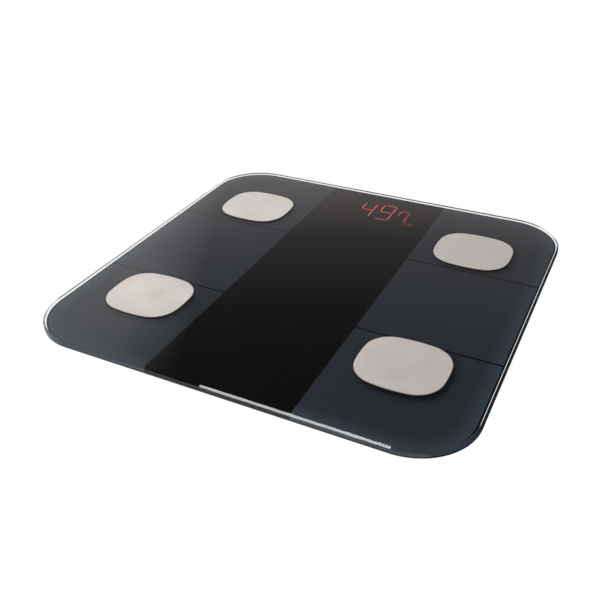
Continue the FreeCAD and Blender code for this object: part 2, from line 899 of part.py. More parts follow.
def make_base():
    additions = [tray()] + ribs()
    cuts = []
    inside = []
    holes = []
    columns, column_holes = posts()
    additions += columns
    holes += column_holes
    for side, end in CORNERS.values():
        tower, openings, pads, screw_holes = foot_housing(side, end)
        additions.append(tower)
        cuts += openings
        inside += pads
        holes += screw_holes
    block, battery_cuts = battery_box()
    additions.append(block)
    cuts += battery_cuts
    hole_at = ("button_x", "button_y", "base_bottom - overcut")
    button_hole = cylinder("button_radius + button_gap", "base_skin + 2 * overcut", hole_at)
    cuts.append(button_hole)
    shell = cut(fuse(additions), cuts)
    subpart(cut(fuse([shell] + inside), holes), "base_shell")


# ---------------------------------------------------------------- feet and load cells

def screw(x, y, head_bottom, length, upside_down):
    """A pan-head screw with a cross recess; upside_down has its head underneath."""
    if upside_down:
        shank_bottom = f"{head_bottom} + screw_head_height"
        recess_bottom = f"{head_bottom} - sink"
    else:
        shank_bottom = f"{head_bottom} - ({length})"
        recess_bottom = f"{head_bottom} + screw_head_height - screw_cross_depth"
    head = cylinder("screw_head_radius", "screw_head_height", (x, y, head_bottom))
    shank = cylinder("screw_shank_radius", length, (x, y, shank_bottom))
    slots = []
    for size in (("screw_cross_length", "screw_cross_width"), ("screw_cross_width", "screw_cross_length")):
        slots.append(box((*size, "screw_cross_depth + sink"), (x, y, recess_bottom)))
    return cut(fuse([head, shank]), slots)


def make_load_cell(name, side, end):
    """A steel plate with a U-shaped slot, which leaves a tongue that the foot bends upwards."""
    x, y = f"{side} * foot_x", f"{end} * foot_y"
    plate = rounded_plate(
        "cell_size", "cell_size", "cell_thickness", "cell_corner", (x, y, "cell_bottom")
    )
    slot_length = "cell_size - cell_root - cell_rail"
    slot_x = f"{x} + {side} * (cell_root - cell_rail) / 2"
    tongue = "cell_size - 2 * cell_rail - 2 * cell_slot"
    slots = []
    for step in (-1, 1):
        at = (slot_x, f"{y} + {step} * ({tongue} + cell_slot) / 2", "cell_bottom - overcut")
        slots.append(box((slot_length, "cell_slot", "cell_thickness + 2 * overcut"), at))
    end_slot_x = f"{x} + {side} * (cell_size / 2 - cell_rail - cell_slot / 2)"
    end_size = ("cell_slot", "cell_size - 2 * cell_rail", "cell_thickness + 2 * overcut")
    slots.append(box(end_size, (end_slot_x, y, "cell_bottom - overcut")))
    subpart(cut(plate, slots), f"load_cell_{name}")


def make_retainer(name, side, end):
    x, y = f"{side} * foot_x", f"{end} * foot_y"
    ring = cylinder("retainer_radius", "cell_bottom - base_bottom", (x, y, "base_bottom"))
    room = cylinder(
        "retainer_inner_radius", "cell_bottom - base_bottom", (x, y, "base_bottom + retainer_floor")
    )
    below = "base_bottom - overcut"
    hole = cylinder("retainer_hole_radius", "retainer_floor + 2 * overcut", (x, y, below))
    cuts = [room, hole]
    for screw_x, screw_y in retainer_screw_places(side, end):
        seat = "screw_head_radius + screw_head_clearance"
        cuts.append(cylinder(seat, "screw_head_height + overcut", (screw_x, screw_y, below)))
        cuts.append(cylinder("screw_shank_radius", "retainer_screw_length", (screw_x, screw_y, below)))
    subpart(cut(ring, cuts), f"load_cell_retainer_{name}")


def make_foot(name, side, end):
    x, y = f"{side} * foot_x", f"{end} * foot_y"
    barrel = cylinder("foot_radius", "foot_flange_top - foot_bottom", (x, y, "foot_bottom"))
    flange_height = "foot_flange_top - foot_flange_bottom"
    flange = cylinder("foot_flange_radius", flange_height, (x, y, "foot_flange_bottom"))
    boss_bottom = "foot_flange_top - sink"
    boss = cylinder("foot_boss_radius", f"cell_bottom - ({boss_bottom})", (x, y, boss_bottom))
    socket_at = (x, y, "rubber_height - foot_socket - overcut")
    socket = cylinder("rubber_radius", "foot_socket + overcut", socket_at)
    subpart(cut(fuse([barrel, flange, boss]), [socket]), f"foot_cap_{name}")
    pad_disc = cylinder("rubber_radius", "rubber_height", (x, y, "0"))
    dish = cylinder("rubber_recess_radius", "rubber_recess + overcut", (x, y, "0 - overcut"))
    subpart(cut(pad_disc, [dish]), f"foot_rubber_{name}")


def make_feet():
    gauges = []
    screws = []
    for name, (side, end) in CORNERS.items():
        make_load_cell(name, side, end)
        make_retainer(name, side, end)
        make_foot(name, side, end)
        gauge_x = f"{side} * (foot_x - cell_size / 2 + cell_root / 2)"
        gauge_at = (gauge_x, f"{end} * foot_y", "cell_bottom + cell_thickness")
        gauges.append(box(("gauge_width", "gauge_length", "gauge_height"), gauge_at))
        for x, y in retainer_screw_places(side, end):
            screws.append(screw(x, y, "base_bottom", "retainer_screw_length", True))
    subpart(group(gauges), "strain_gauges")
    subpart(group(screws), "retainer_screws")


# ---------------------------------------------------------------- battery compartment

def make_battery_door():
    """A snap-in lid: two hooks on the front edge, a springy latch on the back edge."""
    front_edge = "battery_y - door_breadth / 2"
    lid = rounded_plate(
        "door_length", "door_breadth", "door_thickness", "door_corner", ("0", "battery_y", "base_bottom")
    )
    inner_face = "base_bottom + door_thickness"
    pieces = [lid]
    for side in (-1, 1):
        x = f"{side} * hook_offset"
        neck = ("hook_width", "hook_neck", f"hook_top - ({inner_face}) + sink")
        pieces.append(box(neck, (x, f"{front_edge} + hook_neck / 2 + hook_inset", f"{inner_face} - sink")))
        tip = ("hook_width", "hook_reach + 1", "hook_top - hook_bottom")
        pieces.append(box(tip, (x, f"{front_edge} - hook_reach / 2 + 0.5", "hook_bottom")))
        rib = ("door_rib_length", "door_rib_thickness", "door_rib_height + sink")
        pieces.append(box(rib, ("0", f"battery_y + {side} * battery_pitch", f"{inner_face} - sink")))
    latch_y = "battery_y + battery_breadth / 2 + latch_inset"
    leg = ("latch_width", "latch_thickness", f"latch_top - ({inner_face}) + sink")
    pieces.append(box(leg, ("0", f"{latch_y} + latch_thickness / 2 - hook_inset", f"{inner_face} - sink")))
    bump = ("latch_width - 4", "latch_bump + sink", "latch_bump_height")
    bump_y = f"{latch_y} + latch_thickness + latch_bump / 2 - sink"
    pieces.append(box(bump, ("0", bump_y, "latch_bump_bottom")))
    subpart(fuse(pieces), "battery_door")


def cell_direction(step):
    """The middle cell lies the other way round from its neighbours."""
    return 1 if step else -1


def make_battery():
    """Three AAA cells in series, and the end plates that join them."""
    cells = []
    plates = []
    end_x = "battery_length / 2 - contact_thickness"
    for step in (-1, 0, 1):
        way = cell_direction(step)
        y = f"battery_y + {step} * battery_pitch"
        nipple_x = f"0 - {way} * ({end_x})"
        body_x = f"{nipple_x} + {way} * aaa_nipple_length"
        if way < 0:
            nipple_start = f"{nipple_x} - aaa_nipple_length - sink"
            body_start = f"{body_x} - aaa_body_length"
        else:
            nipple_start = nipple_x
            body_start = body_x
        can = lying_cylinder("aaa_radius", "aaa_body_length", (body_start, y, "battery_height"))
        nipple_at = (nipple_start, y, "battery_height")
        nipple = lying_cylinder("aaa_nipple_radius", "aaa_nipple_length + sink", nipple_at)
        cells.append(fuse([can, nipple]))
    single = ("contact_thickness", "contact_width", "contact_height")
    bridge = ("contact_thickness", "contact_width + battery_pitch", "contact_height")
    bottom = "battery_height - contact_height / 2"
    for side in (-1, 1):
        x = f"{side} * (battery_length / 2 - contact_thickness / 2)"
        plates.append(box(single, (x, f"battery_y + {side} * battery_pitch", bottom)))
        plates.append(box(bridge, (x, f"battery_y - {side} * battery_pitch / 2", bottom)))
    subpart(group(cells), "battery_cells")
    subpart(group(plates), "battery_contact_plates")
    make_springs()


def make_springs():
    """A bent leaf between the plate and the negative end of each cell."""
    plate_face = value("battery_length") / 2 - value("contact_thickness")
    thickness, reach = value("leaf_thickness"), value("leaf_reach")
    foot, bend, crest = value("leaf_foot"), value("leaf_bend"), value("leaf_crest")
    # distance from the plate, and height from the cell's axis
    profile = [
        (thickness / 2, -foot),
        (thickness / 2, -bend),
        (reach, -crest),
        (reach, crest),
        (value("leaf_tip"), foot - thickness),
    ]
    leaves = []
    for step in (-1, 0, 1):
        way = cell_direction(step)
        y = value("battery_y") + step * value("battery_pitch")
        points = []
        for distance, rise in profile:
            points.append(Vector(way * (plate_face - distance), y, value("battery_height") + rise))
        path = rounded_path(points, 1.0)
        leaves.append(strip(path, value("leaf_width"), thickness, Vector(0, 1, 0)))
    shaped(Part.Compound(leaves), "battery_springs")


# ---------------------------------------------------------------- circuit boards and button

def screwed_board(size, corner, at, bottom, label):
    length, breadth = size
    x, y = at
    plate = rounded_plate(length, breadth, "board_thickness", corner, (x, y, bottom))
    holes = []
    for screw_x, screw_y, top in board_fixings():
        if top == bottom:
            hole_at = (screw_x, screw_y, f"{bottom} - overcut")
            holes.append(cylinder("screw_shank_radius", "board_thickness + 2 * overcut", hole_at))
    subpart(cut(plate, holes), label)


def make_boards():
    screwed_board(
        ("board_length", "board_breadth"), "board_corner", ("0", "board_y"), "board_bottom", "main_board"
    )
    screwed_board(
        ("display_board_length", "display_board_breadth"),
        "board_corner",
        ("display_x", "display_y + display_board_shift"),
        "display_board_bottom",
        "display_board",
    )
    top = "board_bottom + board_thickness"
    screws = []
    for x, y, board in board_fixings():
        screws.append(screw(x, y, f"{board} + board_thickness", "board_screw_length", False))
    subpart(group(screws), "board_screws")

    controller = box(
        ("controller_size", "controller_size", "controller_height"), ("controller_x", "controller_y", top)
    )
    subpart(controller, "microcontroller")
    carrier = box(("radio_length", "radio_breadth", "radio_board"), ("radio_x", "radio_y", top))
    can = box(
        ("radio_can_length", "radio_breadth - 1", "radio_can_height + sink"),
        ("radio_x - radio_can_shift", "radio_y", f"{top} + radio_board - sink"),
    )
    subpart(fuse([carrier, can]), "wireless_module")
    capacitor_at = ("capacitor_x", "capacitor_y", top)
    subpart(cylinder("capacitor_radius", "capacitor_height", capacitor_at), "power_capacitor")
    crystal = rounded_plate(
        "crystal_length", "crystal_breadth", "crystal_height", "crystal_breadth / 2 - 0.1",
        ("crystal_x", "crystal_y", top),
    )
    subpart(crystal, "clock_crystal")

    sockets = []
    for side, end in CORNERS.values():
        at = (f"{side} * connector_x", f"board_y + {end} * connector_spread", top)
        sockets.append(box(("connector_length", "connector_breadth", "connector_height"), at))
    subpart(group(sockets), "load_cell_sockets")
    electrode_socket = box(
        ("electrode_connector_length", "electrode_connector_breadth", "electrode_connector_height"),
        ("0", "board_y", top),
    )
    subpart(electrode_socket, "electrode_socket")


def make_button():
    x, y = "button_x", "button_y"
    stem = cylinder("button_radius", "button_top - button_bottom", (x, y, "button_bottom"))
    flange_height = "button_top - button_flange_bottom"
    flange = cylinder("button_flange_radius", flange_height, (x, y, "button_flange_bottom"))
    finger_dish = doc.addObject("Part::Sphere", "finger_dish")
    bind(finger_dish, Radius="button_dish_radius")
    place(finger_dish, x, y, "button_bottom + button_dish - button_dish_radius")
    subpart(cut(fuse([stem, flange]), [finger_dish]), "unit_button")

    plunger = cylinder("plunger_radius", "plunger_length", (x, y, "button_top"))
    subpart(plunger, "unit_switch_plunger")
    switch_bottom = "board_bottom - switch_height"
    case = box(("switch_size", "switch_size", "switch_height"), (x, y, switch_bottom))
    bore_at = (x, y, f"{switch_bottom} - overcut")
    bore = cylinder("switch_hole_radius", "switch_hole_depth + overcut", bore_at)
    subpart(cut(case, [bore]), "unit_switch")


# ---------------------------------------------------------------- display

def digit_segments(x, width, height):
    """The seven bars of one digit, as (x, y, length along X, length along Y)."""
    bar = "segment_width"
    long_x = f"{width} - 2 * {bar} - 2 * segment_gap"
    long_y = f"{height} / 2 - 1.5 * {bar} - 2 * segment_gap"
    bars = []
    for level in (-1, 0, 1):
        bars.append((x, f"display_y + {level} * ({height} - {bar}) / 2", long_x, bar))
    for side in (-1, 1):
        for level in (-1, 1):
            bar_x = f"{x} + {side} * ({width} - {bar}) / 2"
            bar_y = f"display_y + {level} * ({height} - {bar}) / 4"
            bars.append((bar_x, bar_y, bar, long_y))
    return bars


def segment_bars():
    bars = digit_segments("digit_left_x", "digit_width", "digit_height")
    bars += digit_segments("digit_middle_x", "digit_width", "digit_height")
    bars += digit_segments("digit_small_x", "digit_small_width", "digit_small_height")
    return bars


def make_display():
    """A light box: white walls about each bar, clear fillings, and a sheet that spreads the light."""
    board_top = "display_board_bottom + board_thickness"
    reflector_top = f"{board_top} + reflector_height"
    window_bottom = f"{reflector_top} - segment_depth"
    frame = rounded_plate(
        "reflector_length", "reflector_breadth", "reflector_height", "reflector_corner",
        ("display_x", "display_y", board_top),
    )
    wells = []
    fillings = []
    for x, y, along_x, along_y in segment_bars():
        fillings.append(box((along_x, along_y, "segment_depth"), (x, y, window_bottom)))
        wells.append(box((along_x, along_y, "segment_depth + overcut"), (x, y, window_bottom)))
    point_y = "display_y - digit_height / 2 + point_radius"
    mark_y = "display_y - digit_height / 2 + unit_mark_breadth / 2 - 1"
    point_at = ("point_x", point_y, window_bottom)
    fillings.append(cylinder("point_radius", "segment_depth", point_at))
    wells.append(cylinder("point_radius", "segment_depth + overcut", point_at))
    mark_at = ("unit_mark_x", mark_y, window_bottom)
    fillings.append(box(("unit_mark_length", "unit_mark_breadth", "segment_depth"), mark_at))
    wells.append(box(("unit_mark_length", "unit_mark_breadth", "segment_depth + overcut"), mark_at))
    subpart(cut(frame, wells), "display_reflector")
    subpart(group(fillings), "display_segments")
    diffuser = box(
        ("reflector_length - 1", "reflector_breadth - 1", "diffuser_thickness"),
        ("display_x", "display_y", reflector_top),
    )
    subpart(diffuser, "display_diffuser")


def make_display_ribbon():
    """The flat cable that arches from the main board to the display board."""
    main_top = value("board_bottom") + value("board_thickness")
    display_top = value("display_board_bottom") + value("board_thickness")
    board_end = value("board_y") + value("board_breadth") / 2
    x = value("display_x")
    start = Vector(x, board_end - 3.5, main_top + 0.02)
    crown = Vector(x, board_end + 0.6, main_top + value("ribbon_arch"))
    end = Vector(x, board_end + 2.7, display_top + 0.02)
    path = Part.Wire(Part.Arc(start, crown, end).toShape())
    ribbon = strip(path, value("ribbon_width"), value("ribbon_thickness"), Vector(1, 0, 0))
    shaped(ribbon, "display_ribbon")


# ---------------------------------------------------------------- leads

def make_cell_leads():
    """A flat three-core lead from each strain gauge to its socket on the main board."""
    level, pitch = value("cell_lead_height"), value("cell_lead_pitch")
    socket_x = value("connector_x") + value("connector_length") / 2
    cell_edge = value("foot_x") - value("cell_size") / 2
    for name, (side, end) in CORNERS.items():
        foot_y = end * value("foot_y")
        socket_y = value("board_y") + end * value("connector_spread")
        gauge_end = cell_edge + (value("cell_root") - value("gauge_width")) / 2
        route = [(gauge_end, foot_y)]
        if end < 0:
            lane = value("cell_lead_lane")
            route += [(lane, foot_y), (lane, socket_y)]
        else:
            bend = (cell_edge + socket_x) / 2
            route += [(bend + 6, foot_y), (bend - 6, socket_y)]
        route.append((socket_x, socket_y))
        points = [Vector(side * x, y, level) for x, y in route]
        middle = rounded_path(points, 8.0)
        cores = []
        for step in (-1, 0, 1):
            path = middle
            if step:
                path = middle.makeOffset2D(step * pitch, 0, False, True)
            cores.append(tube(path, value("cell_lead_radius")))
        shaped(Part.Compound(cores), f"load_cell_lead_{name}")


def make_electrode_leads():
    """A single lead from each electrode's terminal, under the glass and down to the main board."""
    level, low = value("electrode_lead_height"), value("electrode_lead_low")
    lane = value("electrode_lead_lane")
    socket_x = value("electrode_connector_length") / 2
    dip = value("connector_x") - value("connector_length") / 2
    for name, (side, end) in CORNERS.items():
        start = value("electrode_x") - value("terminal_radius") - 1
        start_y = end * value("electrode_y")
        socket_y = value("board_y") + end * 1.0
        route = [(start, start_y, level)]
        if end < 0:
            route += [(lane, start_y, level), (lane, socket_y, level)]
        else:
            route.append((start - 14, socket_y, level))
        route += [(dip, socket_y, level), (dip - 14, socket_y, low), (socket_x, socket_y, low)]
        points = [Vector(side * x, y, z) for x, y, z in route]
        shaped(tube(rounded_path(points, 8.0), value("electrode_lead_radius")), f"electrode_lead_{name}")


def make_battery_leads():
    """Two leads from the outer contact plates to the front edge of the main board."""
    radius = value("battery_lead_radius")
    level = value("board_bottom") + value("board_thickness") + radius
    lane = value("battery_lead_lane")
    board_edge = value("board_y") - value("board_breadth") / 2
    leads = []
    for side in (-1, 1):
        start_y = value("battery_y") + side * value("battery_pitch")
        points = [
            Vector(side * value("battery_length") / 2, start_y, level),
            Vector(side * lane, start_y, level),
            Vector(side * lane, board_edge + 1.5, level),
        ]
        leads.append(tube(rounded_path(points, 4.0), radius))
    shaped(Part.Compound(leads), "battery_leads")


def make_label():
    label = rounded_plate(
        "label_length", "label_breadth", "label_thickness", "door_corner",
        ("0", "label_y", "base_bottom - label_thickness"),
    )
    subpart(label, "rating_label")


# ---------------------------------------------------------------- the whole scale

def check_and_write():
    """Stop on any failed object or broken shape, then write one STEP file for each piece."""
    doc.recompute()
    for obj in doc.Objects:
        if "Invalid" in obj.State or "Error" in obj.State:
            raise RuntimeError(f"{obj.Name} ({obj.Label}) failed: {obj.State}")
    for obj in SUBPARTS:
        if obj.Shape.isNull() or not obj.Shape.isValid() or not obj.Shape.Solids:
            raise RuntimeError(f"{obj.Label} has no valid solid")
    os.makedirs("parts", exist_ok=True)
    for obj in SUBPARTS:
        obj.Shape.exportStep(os.path.join("parts", f"{obj.Label}.step"))
    print(len(SUBPARTS), "sub-parts written")


make_glass()
make_film()
make_electrodes()
make_bond_tape()
make_base()
make_feet()
make_battery_door()
make_battery()
make_boards()
make_button()
make_display()
make_display_ribbon()
make_cell_leads()
make_electrode_leads()
make_battery_leads()
make_label()
check_and_write()
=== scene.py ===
"""Looks of the bathroom scale: materials for the CAD pieces and finer pieces where the CAD is plain.

Metres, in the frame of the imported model: +Z up, +Y away from the user, +X to the user's right.
"""

import json
import math

import bmesh
import bpy
from mathutils import Matrix, Vector


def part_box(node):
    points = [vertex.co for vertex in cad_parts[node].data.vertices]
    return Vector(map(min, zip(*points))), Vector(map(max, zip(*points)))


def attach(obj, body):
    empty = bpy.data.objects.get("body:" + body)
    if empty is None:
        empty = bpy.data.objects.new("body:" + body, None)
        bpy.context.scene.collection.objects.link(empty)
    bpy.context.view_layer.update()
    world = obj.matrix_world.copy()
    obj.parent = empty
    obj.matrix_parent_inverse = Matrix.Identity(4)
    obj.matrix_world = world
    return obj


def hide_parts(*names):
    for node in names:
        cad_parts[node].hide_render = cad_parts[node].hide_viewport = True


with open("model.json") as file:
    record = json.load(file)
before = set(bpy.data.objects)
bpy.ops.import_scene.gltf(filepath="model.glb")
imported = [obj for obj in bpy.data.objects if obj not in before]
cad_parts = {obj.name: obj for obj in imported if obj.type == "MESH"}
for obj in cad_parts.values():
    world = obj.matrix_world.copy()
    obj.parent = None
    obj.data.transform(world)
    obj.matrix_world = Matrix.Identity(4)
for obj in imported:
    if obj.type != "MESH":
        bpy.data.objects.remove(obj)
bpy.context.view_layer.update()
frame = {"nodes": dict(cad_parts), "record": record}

MM = 0.001
CORNERS = {
    "front_left": (-1, -1),
    "front_right": (1, -1),
    "back_left": (-1, 1),
    "back_right": (1, 1),
}

glass_low, glass_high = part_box("glass_platform")
film_low, film_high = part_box("print_film")
segments_low, segments_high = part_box("display_segments")
display_centre = (segments_low + segments_high) / 2

# ---------------------------------------------------------------- camera

CAMERA_AZIMUTH = math.radians(27.07)
CAMERA_ELEVATION = math.radians(32.87)
CAMERA_ROLL = math.radians(-1.08)
CAMERA_DISTANCE = 0.5142
CAMERA_LENS = 45.01
SENSOR_WIDTH = 36.0
AIM = Vector((4.4 * MM, -38.5 * MM, glass_high.z))


def make_camera():
    data = bpy.data.cameras.new("camera")
    data.lens = CAMERA_LENS
    data.sensor_width = SENSOR_WIDTH
    data.clip_start = 0.01
    camera = bpy.data.objects.new("camera", data)
    bpy.context.scene.collection.objects.link(camera)
    flat = math.cos(CAMERA_ELEVATION)
    back = Vector((
        math.sin(CAMERA_AZIMUTH) * flat,
        -math.cos(CAMERA_AZIMUTH) * flat,
        math.sin(CAMERA_ELEVATION),
    ))
    right = Vector((math.cos(CAMERA_AZIMUTH), math.sin(CAMERA_AZIMUTH), 0))
    up = back.cross(right)
    turned_right = right * math.cos(CAMERA_ROLL) + up * math.sin(CAMERA_ROLL)
    turned_up = up * math.cos(CAMERA_ROLL) - right * math.sin(CAMERA_ROLL)
    pose = Matrix((turned_right, turned_up, back)).transposed().to_4x4()
    pose.translation = AIM + back * CAMERA_DISTANCE
    camera.matrix_world = pose
    bpy.context.scene.camera = camera


# ---------------------------------------------------------------- node helpers

PRINCIPLED = {
    "colour": "Base Color",
    "metallic": "Metallic",
    "roughness": "Roughness",
    "ior": "IOR",
    "normal": "Normal",
    "specular": "Specular IOR Level",
    "transmission": "Transmission Weight",
    "coat": "Coat Weight",
    "coat_roughness": "Coat Roughness",
    "emission": "Emission Color",
    "emission_strength": "Emission Strength",
}


class Shader:
    """A node tree under construction; links are made by giving an output as an input's value."""

    def __init__(self, name, world=False):
        store = bpy.data.worlds if world else bpy.data.materials
        self.owner = store.new(name)
        self.owner.use_nodes = True
        self.tree = self.owner.node_tree
        self.tree.nodes.clear()
        self.output = self.tree.nodes.new("ShaderNodeOutputWorld" if world else "ShaderNodeOutputMaterial")
        coordinates = self.tree.nodes.new("ShaderNodeTexCoord")
        self.place = coordinates.outputs["Generated" if world else "Object"]

    def put(self, target, given):
        if isinstance(given, bpy.types.NodeSocket):
            self.tree.links.new(given, target)
        else:
            target.default_value = given

    def node(self, kind, settings=None, **inputs):
        made = self.tree.nodes.new(kind)
        for name, setting in (settings or {}).items():
            setattr(made, name, setting)
        for name, given in inputs.items():
            self.put(made.inputs[name.replace("_", " ")], given)
        return made

    def math(self, operation, first, second=0.0):
        made = self.node("ShaderNodeMath", {"operation": operation})
        self.put(made.inputs[0], first)
        self.put(made.inputs[1], second)
        return made.outputs[0]

    def axes(self):
        return self.node("ShaderNodeSeparateXYZ", Vector=self.place).outputs

    def stretched(self, x, y, z):
        return self.node("ShaderNodeMapping", Vector=self.place, Scale=(x, y, z)).outputs[0]

    def noise(self, scale, detail=4.0, roughness=0.5, vector=None):
        made = self.node(
            "ShaderNodeTexNoise",
            Vector=vector or self.place,
            Scale=scale,
            Detail=detail,
            Roughness=roughness,
        )
        return made.outputs["Fac"]

    def ramp(self, factor, low, high, start=0.0, end=1.0):
        """A value that runs from low to high as the factor runs from start to end."""
        made = self.node(
            "ShaderNodeMapRange",
            {"clamp": True},
            Value=factor,
            From_Min=start,
            From_Max=end,
            To_Min=low,
            To_Max=high,
        )
        return made.outputs[0]

    def mix(self, factor, first, second):
        made = self.node("ShaderNodeMix", {"data_type": "RGBA"})
        for index, given in ((0, factor), (6, first), (7, second)):
            self.put(made.inputs[index], given)
        return made.outputs[2]

    def bump(self, height, distance, strength=1.0):
        return self.node("ShaderNodeBump", Height=height, Distance=distance, Strength=strength).outputs[0]

    def finish(self, shader_output):
        self.tree.links.new(shader_output, self.output.inputs["Surface"])
        return self.owner

    def principled(self, **inputs):
        made = self.node("ShaderNodeBsdfPrincipled")
        for name, given in inputs.items():
            self.put(made.inputs[PRINCIPLED[name]], given)
        return self.finish(made.outputs[0])


def opaque(colour, scale=1.0):
    return tuple(scale * part for part in colour) + (1.0,)


def grey(level):
    return opaque((level, level, level))


# ---------------------------------------------------------------- materials

GLASS_IOR = 1.5


def clear_glass():
    """Tempered soda-lime glass with the faint green of its iron."""
    shader = Shader("clear_glass")
    return shader.principled(colour=(0.93, 0.975, 0.96, 1.0), roughness=0.0, ior=GLASS_IOR, transmission=1.0)


BAND_HALF_WIDTH = 50 * MM
LINE_Y = 49.3 * MM
LINE_HALF_WIDTH = 0.75 * MM
FILM_CORNER = 38.1 * MM
BORDER = 1.2 * MM
SLATE = (0.031, 0.037, 0.047)
# painted light: a paler slate along the print's outline, fading inwards over the next width, stands in for
# light that enters through the glass's edges
PAINTED_EDGE_LIGHT_SLATE = (0.048, 0.062, 0.083)
PAINTED_EDGE_LIGHT_FADE = 12 * MM
INK = (0.0040, 0.0036, 0.0036)


def border_distance(shader, x, y):
    """How far a point of the print lies inside its rounded outline; negative outside."""
    over_x = shader.math("SUBTRACT", shader.math("ABSOLUTE", x), film_high.x - FILM_CORNER)
    over_y = shader.math("SUBTRACT", shader.math("ABSOLUTE", y), film_high.y - FILM_CORNER)
    past_x = shader.math("MAXIMUM", over_x, 0.0)
    past_y = shader.math("MAXIMUM", over_y, 0.0)
    square_x = shader.math("MULTIPLY", past_x, past_x)
    square_y = shader.math("MULTIPLY", past_y, past_y)
    outside = shader.math("SQRT", shader.math("ADD", square_x, square_y))
    inside = shader.math("MINIMUM", shader.math("MAXIMUM", over_x, over_y), 0.0)
    return shader.math("SUBTRACT", FILM_CORNER, shader.math("ADD", outside, inside))


def screen_print():
    """Slate panels with a black stripe, cross lines and border, and painted light: the slate grows paler
    towards the rim.
    """
    shader = Shader("screen_print")
    x, y, _ = shader.axes()
    stripe = shader.math("LESS_THAN", shader.math("ABSOLUTE", x), BAND_HALF_WIDTH)
    from_line = shader.math("ABSOLUTE", shader.math("SUBTRACT", shader.math("ABSOLUTE", y), LINE_Y))
    line = shader.math("LESS_THAN", from_line, LINE_HALF_WIDTH)
    depth = border_distance(shader, x, y)
    border = shader.math("LESS_THAN", depth, BORDER)
    black = shader.math("MAXIMUM", shader.math("MAXIMUM", stripe, line), border)
    mottle = shader.noise(900.0, 3.0, 0.6)
    middle = shader.mix(mottle, opaque(SLATE, 0.9), opaque(SLATE, 1.1))
    # painted light: rim is a paler slate near the outline, standing in for light let in through the glass's
    # edges
    rim = shader.mix(mottle, opaque(PAINTED_EDGE_LIGHT_SLATE, 0.9), opaque(PAINTED_EDGE_LIGHT_SLATE, 1.1))
    slate = shader.mix(shader.ramp(depth, 0.0, 1.0, BORDER, PAINTED_EDGE_LIGHT_FADE), rim, middle)
    ink = shader.mix(mottle, opaque(INK, 0.85), opaque(INK, 1.15))
    return shader.principled(colour=shader.mix(black, slate, ink), roughness=0.55, specular=0.0)


def brushed_steel():
    """Satin stainless steel: a fine grain along X, with faint cloudy wear."""
    shader = Shader("brushed_steel")
    grain = shader.noise(1.0, 3.0, 0.7, shader.stretched(500.0, 9000.0, 2000.0))
    speckle = shader.noise(5200.0, 2.0, 0.6)
    clouds = shader.noise(55.0, 4.0, 0.6)
    texture = shader.math("ADD", shader.math("MULTIPLY", grain, 0.6), shader.math("MULTIPLY", speckle, 0.4))
    colour = shader.mix(texture, (0.372, 0.359, 0.346, 1.0), (0.442, 0.425, 0.407, 1.0))
    fine_roughness = shader.ramp(texture, 0.74, 0.84, 0.3, 0.7)
    cloudy_roughness = shader.ramp(clouds, 0.0, 0.06, 0.35, 0.7)
    rough = shader.math("ADD", fine_roughness, cloudy_roughness)
    return shader.principled(
        colour=colour, metallic=1.0, roughness=rough, normal=shader.bump(texture, 0.000012, 0.6)
    )


def plated_steel(name, colour, roughness):
    """Zinc or nickel plate with a slight bloom."""
    shader = Shader(name)
    bloom = shader.noise(350.0, 5.0, 0.6)
    shade = shader.mix(bloom, opaque(colour, 0.8), opaque(colour))
    rough = shader.ramp(bloom, roughness - 0.06, roughness + 0.08, 0.3, 0.7)
    return shader.principled(colour=shade, metallic=1.0, roughness=rough)


def moulded(name, colour, roughness, grain=0.00004, scale=2600.0):
    """Injection-moulded plastic with a spark-eroded texture and faint handling marks."""
    shader = Shader(name)
    pits = shader.noise(scale, 3.0, 0.65)
    marks = shader.noise(38.0, 5.0, 0.6)
    return shader.principled(
        colour=shader.mix(marks, opaque(colour, 0.85), opaque(colour, 1.1)),
        roughness=shader.ramp(marks, roughness - 0.05, roughness + 0.07, 0.3, 0.7),
        normal=shader.bump(pits, grain, 0.5),
    )


def rubber(name, colour):
    """Matt rubber with pale dust on it."""
    shader = Shader(name)
    dust = shader.noise(120.0, 6.0, 0.65)
    pores = shader.noise(3500.0, 2.0, 0.6)
    dusty = tuple(min(1.0, 1.9 * part + 0.015) for part in colour)
    return shader.principled(
        colour=shader.mix(shader.ramp(dust, 0.0, 0.6, 0.45, 0.8), opaque(colour), opaque(dusty)),
        roughness=0.82,
        specular=0.3,
        normal=shader.bump(pores, 0.00003, 0.5),
    )


def circuit_board():
    """Green solder mask over copper tracks."""
    shader = Shader("board_green")
    tracks = shader.node(
        "ShaderNodeTexBrick",
        {"offset": 0.5},
        Vector=shader.place,
        Scale=260.0,
        Mortar_Size=0.035,
        Color1=grey(1.0),
        Color2=grey(0.9),
        Mortar=grey(0.0),
    )
    colour = shader.mix(tracks.outputs["Color"], (0.035, 0.21, 0.10, 1.0), (0.018, 0.12, 0.055, 1.0))
    relief = shader.bump(tracks.outputs["Color"], 0.00004, 0.5)
    return shader.principled(colour=colour, roughness=0.35, normal=relief)


def glowing(name, colour):
    """Light of the display where it comes through the print."""
    shader = Shader(name)
    flicker = shader.noise(1800.0, 2.0, 0.5)
    return shader.principled(
        colour=opaque((0.02, 0.0, 0.0)),
        roughness=0.6,
        specular=0.0,
        emission=shader.mix(flicker, opaque(colour, 0.85), opaque(colour, 1.15)),
        emission_strength=1.0,
    )


def dull_red():
    """A display segment that is not lit."""
    shader = Shader("red_epoxy")
    haze = shader.noise(700.0, 3.0)
    colour = shader.mix(haze, (0.30, 0.01, 0.008, 1.0), (0.42, 0.02, 0.015, 1.0))
    return shader.principled(colour=colour, roughness=0.3)


LABEL_FRAME = (1.6 * MM, 2.1 * MM)


